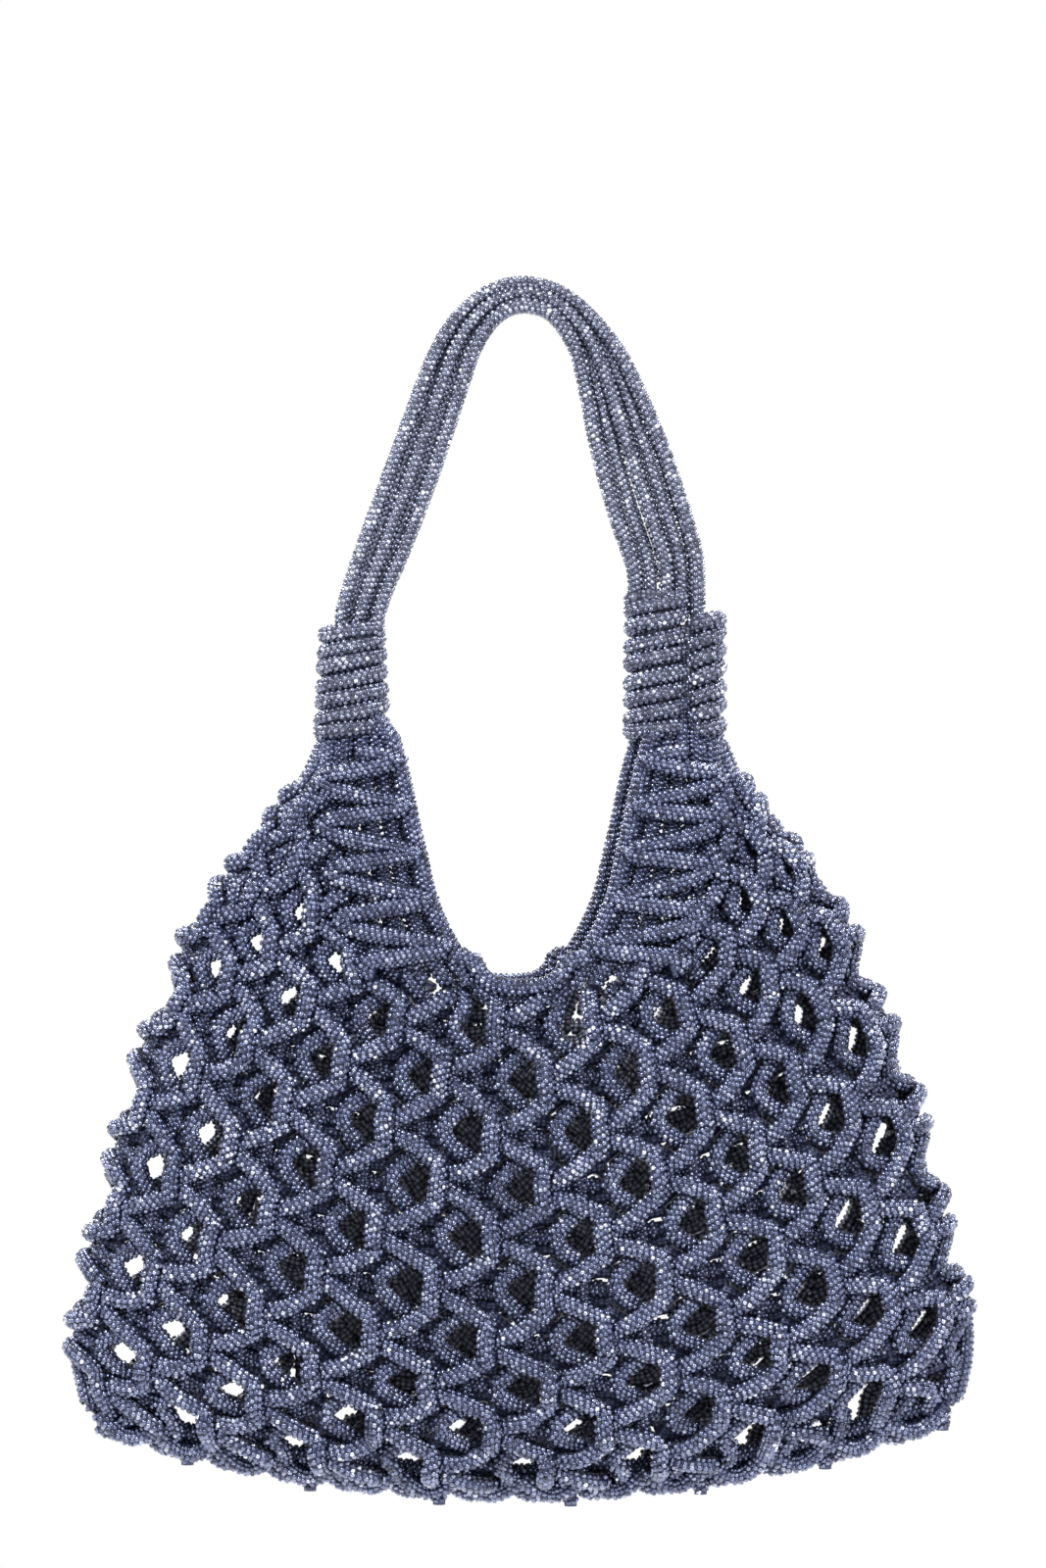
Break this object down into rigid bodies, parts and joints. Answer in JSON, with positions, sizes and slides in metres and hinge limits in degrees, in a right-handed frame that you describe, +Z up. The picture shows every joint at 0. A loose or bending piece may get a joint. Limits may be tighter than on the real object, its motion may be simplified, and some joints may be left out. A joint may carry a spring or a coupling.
{
  "type": "crystal evening bag",
  "caption": "Hobo-shaped evening bag knotted as a net of crystal-covered tubular cord, with wound bindings at two peaks and a bundle of crystal strands as its handle.",
  "frame": {"origin": "underside of the handle where it lies over the peg or hand that holds the bag up", "axes": "front of the bag faces -Y, +X to the right seen from the front, +Z up"},
  "size_m": [0.3035, 0.0621, 0.4062],
  "materials": {
    "net_crystals": "small faceted stones",
    "ladder_crystals": "small faceted stones",
    "binding_crystals": "small faceted stones",
    "strand_crystals": "small faceted stones",
    "cord_end_crystals": "small faceted stones"
  },
  "bodies": {
    "root": {"net_body": "net_crystals", "edge_ladder_front_left": "ladder_crystals", "edge_ladder_front_right": "ladder_crystals", "edge_ladder_back_left": "ladder_crystals", "edge_ladder_back_right": "ladder_crystals", "binding_left": "binding_crystals", "binding_right": "binding_crystals", "handle_strand_1": "strand_crystals", "handle_strand_2": "strand_crystals", "handle_strand_3": "strand_crystals", "handle_strand_4": "strand_crystals", "handle_strand_5": "strand_crystals", "handle_strand_6": "strand_crystals", "handle_strand_7": "strand_crystals", "handle_strand_8": "strand_crystals", "cord_end_1": "cord_end_crystals", "cord_end_2": "cord_end_crystals", "cord_end_3": "cord_end_crystals", "cord_end_4": "cord_end_crystals", "cord_end_5": "cord_end_crystals", "cord_end_6": "cord_end_crystals", "cord_end_7": "cord_end_crystals"}
  },
  "joints": []
}
